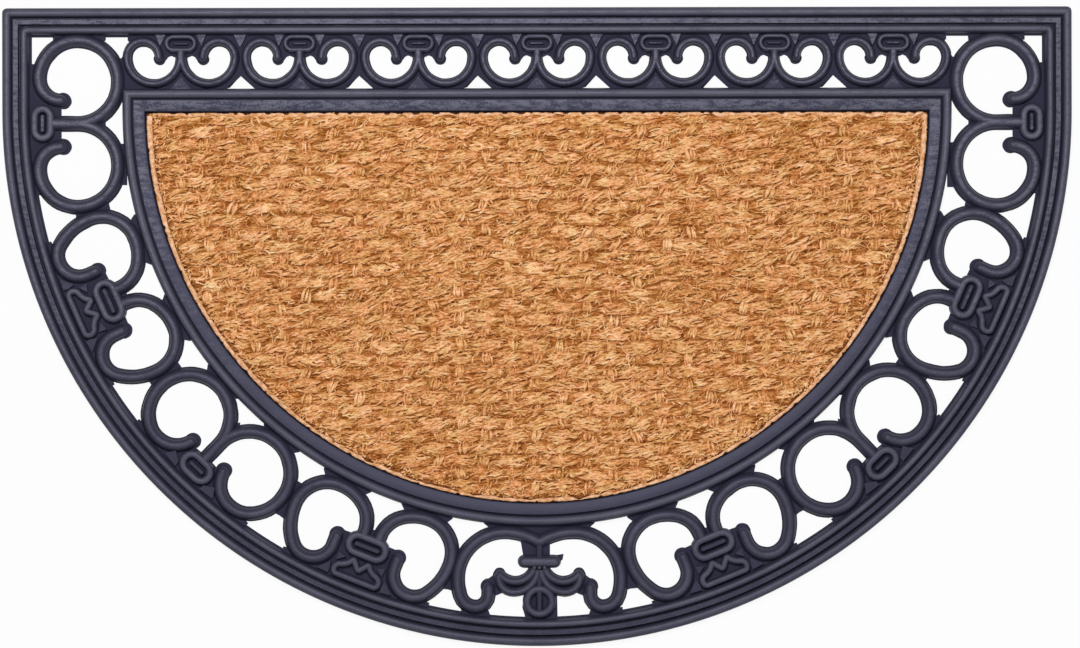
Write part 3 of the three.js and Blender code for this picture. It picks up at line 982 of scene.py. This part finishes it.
def floatStrands():
    strands = []
    reach = coir["floatReach"]
    for x, y in weavePlaces(True):
        lean = weaving.normal(0.2, 0.14)
        plump = weaving.normal(1, 0.14)
        light = weaving.normal(0.46, 0.09)
        x += vary(1.6)
        y += vary(0.6)
        for k in range(coir["floatStrands"]):
            across = (k + weaving.uniform(-0.3, 1.3)) / coir["floatStrands"] * 2 - 1
            length = weaving.uniform(*coir["floatLong"])
            middle = weaving.uniform(-1, 1) * (reach - length)
            t = np.linspace(-1, 1, 5)
            along = middle + length * t
            bulge = 1 - 0.42 * (along / reach) ** 2
            side = across * coir["floatWide"] * plump * bulge
            side += (lean + vary(0.2)) * length * t
            side += vary(0.4, 5)
            crown = coir["floatHigh"] * np.sqrt(np.maximum(0.05, 1 - (side / 5.6) ** 2))
            z = coir["yarnMiddle"] - 0.5 + crown - 1.1 * (along / reach) ** 4 - 0.5 * t ** 2
            line = drifted(np.column_stack([x + along, y + side, z + vary(0.4)]))
            half = weaving.uniform(*coir["floatHalf"]) * taper(5)
            if inside(line, 0.5):
                tone = light + vary(0.13) + vary(0.1, 5)
                strands.append((line, half, tone))
    return strands


def warpStrands():
    strands = []
    for x, y in weavePlaces(False):
        lean = weaving.normal(0.4, 0.9)
        rise = vary(0.45)
        light = weaving.normal(0.45, 0.13)
        x += vary(1)
        for k in range(coir["warpStrands"]):
            t = np.linspace(-1, 1, 6)
            away = (k - (coir["warpStrands"] - 1) / 2) * coir["warpSpread"] + vary(0.35)
            length = coir["rowPitch"] * weaving.uniform(*coir["warpLong"])
            line = drifted(np.column_stack([
                x + away * (1 - 0.25 * t * t) + (lean + vary(0.5)) * t,
                y + length * t + vary(0.7),
                coir["yarnMiddle"] + 1.45 + rise - 1.7 * t ** 2 + vary(0.15, 6),
            ]))
            if inside(line, 0.5):
                tone = light + vary(0.12) + vary(0.06, 6)
                half = weaving.uniform(*coir["warpHalf"]) * taper(6)
                strands.append((line, half, tone))
    return strands


def anywhere():
    return weaving.uniform(-coir["recess"], coir["recess"]), weaving.uniform(0, coir["recess"])


def byTheCurve():
    angle, radius = weaving.uniform(0, math.pi), coir["recess"] - weaving.uniform(3.5, 8)
    return radius * math.cos(angle), radius * math.sin(angle)


# loose strands: how many, length, how far they stray from the yarns' lean, half thickness, bend,
# sections and where they lie
strays = {
    "tufts": (6800, (2.5, 7), 38, (0.4, 0.75), 0.3, 5, anywhere),
    "edgeTufts": (1300, (2, 4.5), 45, (0.45, 0.8), 0.3, 5, byTheCurve),
    "fibres": (1800, (7, 18), 45, (0.2, 0.36), 0.1, 7, anywhere),
}


def strayStrand(x, y, length, heading, curl, half, count):
    # short bent strand on the yarns, or None in most of the dips and where it would cross the edge
    t = np.linspace(-0.5, 0.5, count)
    angle = heading + curl * t * length
    step = length / (count - 1)
    dx = np.concatenate([[0], np.cumsum(np.cos(angle[:-1]) * step)])
    dy = np.concatenate([[0], np.cumsum(np.sin(angle[:-1]) * step)])
    phase = floatPhase((y - coir["firstRow"]) / coir["rowPitch"], x)
    if phase > weaving.uniform(-0.6, 1.6):
        return None
    z = coir["yarnMiddle"] + weaving.uniform(0.8, 2.3) + 0.4 * phase
    z = z - weaving.uniform(0.2, 1.2) * (2 * t) ** 2
    line = np.column_stack([x + dx - dx.mean(), coirHigh.y - y + dy - dy.mean(), z])
    if not inside(line, weaving.uniform(-3, 0.5)):
        return None
    return line, half, weaving.normal(0.42, 0.24) + vary(0.1, count)


def strayStrands(count, length, spread, half, curl, sections, place):
    strands = []
    shape = np.sin(np.linspace(0.28, math.pi - 0.28, sections))
    while len(strands) < count:
        heading = math.radians(weaving.normal(20, spread) + (75 if weaving.random() < 0.12 else 0))
        long = weaving.uniform(*length)
        x, y = place()
        bend = vary(curl)
        made = strayStrand(x, y, long, heading, bend, weaving.uniform(*half) * shape, sections)
        if made:
            strands.append(made)
    return strands


coirLook = {
    "speck": rgb(84, 42, 20),
    "joint": rgb(38, 20, 20),
    "shade": rgb(136, 74, 22),
    "brown": rgb(194, 128, 70),
    "straw": rgb(230, 172, 118),
    "pale": rgb(255, 218, 176),
    "strip": rgb(216, 161, 115),
    "margin": rgb(246, 200, 165),
    "pinkish": rgb(255, 247, 244),
    "yellowish": rgb(249, 252, 240),
    "deepest": 6.2,  # heights between which the yarns brighten, so that they are darker low down as painted shade
    "topmost": 9.8,
}


def coirMaterial():
    shader = Shader("coir yarn")
    streaks = shader.noise(820, 3, 0.6, shader.place((0.3, 1, 1), -15, (180, 0.004)))
    blots = shader.noise(480, 3, 0.6)
    patches = shader.noise(45, 3, 0.5)
    # the yarns darken towards the backing: painted shade between them
    height = shader.within(shader.along("Z"), coirLook["deepest"] * mm, coirLook["topmost"] * mm)
    share = (0.24 * height + 0.78 * streaks + 0.46 * blots + 0.34 * shader.value("tone")
             + 0.12 * patches - 0.47)
    places = {"speck": 0.02, "shade": 0.22, "brown": 0.4, "straw": 0.56, "pale": 0.82}
    tone = shader.ramp(share, coirLook, places)
    tint = shader.ramp(shader.noise(95, 2, 0.5), coirLook, {"pinkish": 0.38, "yellowish": 0.62})
    tone = shader.mix(1.0, tone, tint, "MULTIPLY")
    return shader.finish(tone, 0.9, 0.08, shader.bump(streaks + blots, 0.7, 0.0007))


def pressedMaterial():
    # by tone: -1 dark in the joint, 0 brown under the yarns, painted darker as the shade between them, 1 pale
    # in the bare strip
    shader = Shader("pressed coir")
    streaks = shader.noise(700, 4, 0.62, shader.place((0.35, 1, 1), -16, (180, 0.004)))
    blots = shader.noise(300, 4, 0.6)
    # under the yarns the backing is dark brown, as painted shade in the gaps between them
    deep = shader.ramp(streaks, coirLook, {"speck": 0.34, "shade": 0.44, "brown": 0.62})
    tone = shader.value("tone")
    deep = shader.mix(shader.within(tone, -1, 0), coirLook["joint"], deep)
    places = {"brown": 0.34, "strip": 0.46, "margin": 0.6}
    pressed = shader.ramp(streaks * 0.4 + blots * 0.6, coirLook, places)
    tone = shader.mix(shader.within(tone, 0, 1), deep, pressed)
    return shader.finish(tone, 0.9, 0.1, shader.bump(streaks + blots, 0.6, 0.0008))


def halfDisc(top, curve, across, around):
    # the panel's outline moved in by its two insets, from the right end of the straight edge
    topInset, curveInset = np.broadcast_to(top, across), np.broadcast_to(curve, around)
    end = coir["recess"] - curveInset[0]
    low = math.asin(topInset[0] / end)
    x = np.linspace(1, -1, across) * end * math.cos(low)
    angle = np.linspace(math.pi + low, 2 * math.pi - low, around)
    radius = coir["recess"] - curveInset
    return np.concatenate([
        np.column_stack([x, coirHigh.y - topInset]),
        np.column_stack([radius * np.cos(angle), coirHigh.y + radius * np.sin(angle)])[1:-1]])


def pressedMesh(name, rings, tones, material, closed=False):
    # a skin over the rings, with one tone for each
    made = addMesh(name, *skin(rings, closed), material)
    tone = made.data.attributes.new("tone", "FLOAT", "POINT")
    tone.data.foreach_set("value", np.repeat(np.array(tones, float), len(rings[0])))
    made.data.polygons.foreach_set("use_smooth", [True] * len(made.data.polygons))
    return made


border = {
    "gap": 0.4,  # to the frame
    "ragged": 0.3,
    # length and steps of each part, the strip's width, then its bites: how far apart, how long and
    # how deep they are
    "top": {"length": 548, "steps": 470, "wide": 3.3, "every": (5, 16), "long": (1.2, 5), "deep": (0.4, 1.6)},
    "curve": {"length": 861, "steps": 730, "wide": 3.7, "every": (10, 34), "long": (0.8, 2.2),
              "deep": (0.4, 1.3)},
    # share of the width, height, tone; the tone falls towards the foot of each side, as painted shade in the
    # cracks
    "profile": [(0, coirLow.z, 0), (0, 6.8, 0.3), (0.15, 7.6, 1), (0.5, 7.8, 1), (0.85, 7.7, 1), (1, 7, 0.5),
                (1, coirLow.z + 0.5, 0)],
}


def bitten(along, size):
    # gap to the frame at each place along the strip
    gap = border["gap"] + border["ragged"] * np.abs(smoothNoise(along, 3))
    place = 0
    while place < along[-1]:
        long = weaving.uniform(*size["long"])
        gap[np.abs(along - place) < long / 2] += weaving.uniform(*size["deep"])
        place += long / 2 + weaving.uniform(*size["every"])
    return gap


def makeBorder(material):
    top, curve = border["top"], border["curve"]
    across, around = [np.linspace(0, size["length"], size["steps"]) for size in (top, curve)]
    outerTop, outerCurve = bitten(across, top), bitten(around, curve)
    innerTop = top["wide"] + 0.8 * smoothNoise(across, 5)
    # wider at the two ends of the curve, more uneven towards its foot
    middle = np.sin(around / curve["length"] * math.pi) ** 2
    ends = np.exp(-around / 70) + np.exp((around - curve["length"]) / 70)
    innerCurve = curve["wide"] - 0.6 * middle + 1.2 * ends
    innerCurve += (0.25 + 0.45 * middle) * smoothNoise(around, 5)
    lift = 0.25 * smoothNoise(np.arange(top["steps"] + curve["steps"] - 2.0), 5)
    rings, tones = [], []
    for share, z, tone in border["profile"]:
        flat = halfDisc(outerTop + share * np.maximum(innerTop - outerTop, 0.2),
                        outerCurve + share * (innerCurve - outerCurve), top["steps"], curve["steps"])
        rings.append(np.column_stack([flat, z + lift * (z > 7)]))
        tones.append(tone)
    return pressedMesh("coirBorder", rings, tones, material, closed=True)


def makeBacking(material):
    # half disc that carries the yarns, its face uneven
    outline = halfDisc(0.5, 0.5, 90, 140)
    middle = np.array([0, coirHigh.y - 110])
    shares = np.linspace(1, 0.02, 34)
    rings = [raisedTo(outline, coirLow.z)]
    for share in shares:
        height = coir["backing"] + vary(0.2, len(outline))
        rings.append(np.column_stack([middle + (outline - middle) * share, height]))
    made = pressedMesh("coirBacking", rings, [-1, *np.where(shares == 1, -1, 0)], material)
    made.data.set_sharp_from_angle(angle=math.radians(50))
    return made


def makeCoir():
    yarn, pressed = coirMaterial(), pressedMaterial()
    backing = makeBacking(pressed)
    pieces = [makeBorder(pressed)]
    for name, strands in (
        ("coirWeft", coreStrands()),
        ("coirFloats", floatStrands()),
        ("coirWarp", warpStrands()),
        ("coirTufts", strayStrands(*strays["tufts"]) + strayStrands(*strays["edgeTufts"])),
        ("coirFibres", strayStrands(*strays["fibres"])),
    ):
        made = strandMesh(name, strands, yarn, stacked=name == "coirWeft")
        print(name, len(strands), "strands,", 2 * len(made.data.polygons), "triangles")
        pieces.append(made)
    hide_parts("coir_panel")
    for piece in (backing, *pieces):
        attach(piece, "root")


makeCoir()
